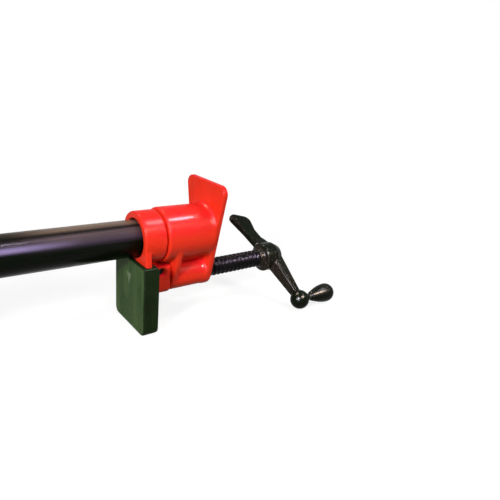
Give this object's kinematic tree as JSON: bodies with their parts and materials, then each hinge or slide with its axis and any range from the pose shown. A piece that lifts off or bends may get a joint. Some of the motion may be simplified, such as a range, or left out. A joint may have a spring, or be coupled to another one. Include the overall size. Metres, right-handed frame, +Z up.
{
  "type": "woodworking pipe clamp",
  "caption": "Pipe clamp: screw head with crank on the end of a steel pipe, a sliding padded jaw, and a tail jaw held by tilting clutch plates.",
  "frame": {"origin": "centre of the pipe's free end, on the pipe's axis", "axes": "+X along the pipe from its free end towards the crank, +Z up, away from the jaws' pads"},
  "size_m": [0.5681, 0.098, 0.1073],
  "materials": {
    "black_pipe": "black lacquer, satin, with faint streaks along the pipe",
    "red_enamel": "glossy red enamel over a sand casting",
    "green_plastic": "dark green plastic, satin, with faint cloudy streaks",
    "black_oxide": "black oxide on turned steel, oily gloss",
    "black_casting": "black painted casting, glossy and slightly rough",
    "black_grip": "smooth glossy black",
    "dark_steel": "dull grey steel",
    "zinc_steel": "zinc plated steel, satin"
  },
  "bodies": {
    "head": {"pipe": "black_pipe", "fixed_head": "red_enamel"},
    "jaw": {"moving_jaw": "red_enamel", "moving_jaw_pad": "green_plastic", "swivel_pin": "dark_steel"},
    "crank": {"screw": "black_oxide", "crank": "black_casting", "grip_spindle": "dark_steel"},
    "grip": {"crank_grip": "black_grip"},
    "tail": {"tail_jaw": "red_enamel", "tail_jaw_pad": "green_plastic", "clutch_spring": "zinc_steel"},
    "clutch_1": {"clutch_plate_1": "zinc_steel"},
    "clutch_2": {"clutch_plate_2": "zinc_steel"},
    "clutch_3": {"clutch_plate_3": "zinc_steel"}
  },
  "joints": [
    {"name": "jaw_slide", "type": "slide", "parent": "head", "child": "jaw", "axis": [-1, 0, 0], "range_m": [0, 0.042]},
    {"name": "screw_turn", "type": "hinge", "parent": "jaw", "child": "crank", "pos_m": [0.4, 0, -0.0343], "axis": [-1, 0, 0], "range_deg": [0, 3600]},
    {"name": "grip_spin", "type": "hinge", "parent": "crank", "child": "grip", "pos_m": [0.5291, -0.0433, -0.0593], "axis": [1, 0, 0], "continuous": true},
    {"name": "tail_slide", "type": "slide", "parent": "head", "child": "tail", "axis": [1, 0, 0], "range_m": [-0.17, 0.106]},
    {"name": "clutch_tilt_1", "type": "hinge", "parent": "tail", "child": "clutch_1", "pos_m": [0.20477, 0, 0.023], "axis": [0, -1, 0], "range_deg": [0, 4], "stiffness_Nm_per_rad": 0.4, "springref_deg": -20.05, "deforming": ["clutch_spring"]},
    {"name": "clutch_tilt_2", "type": "hinge", "parent": "tail", "child": "clutch_2", "pos_m": [0.20145, 0, 0.023], "axis": [0, -1, 0], "range_deg": [0, 4]},
    {"name": "clutch_tilt_3", "type": "hinge", "parent": "tail", "child": "clutch_3", "pos_m": [0.19814, 0, 0.023], "axis": [0, -1, 0], "range_deg": [0, 4]}
  ],
  "couplings": [
    {"joint": "jaw_slide", "follows": "screw_turn", "m_per_rad": 0.00066845},
    {"joint": "clutch_tilt_2", "follows": "clutch_tilt_1", "ratio": 1},
    {"joint": "clutch_tilt_3", "follows": "clutch_tilt_1", "ratio": 1}
  ]
}
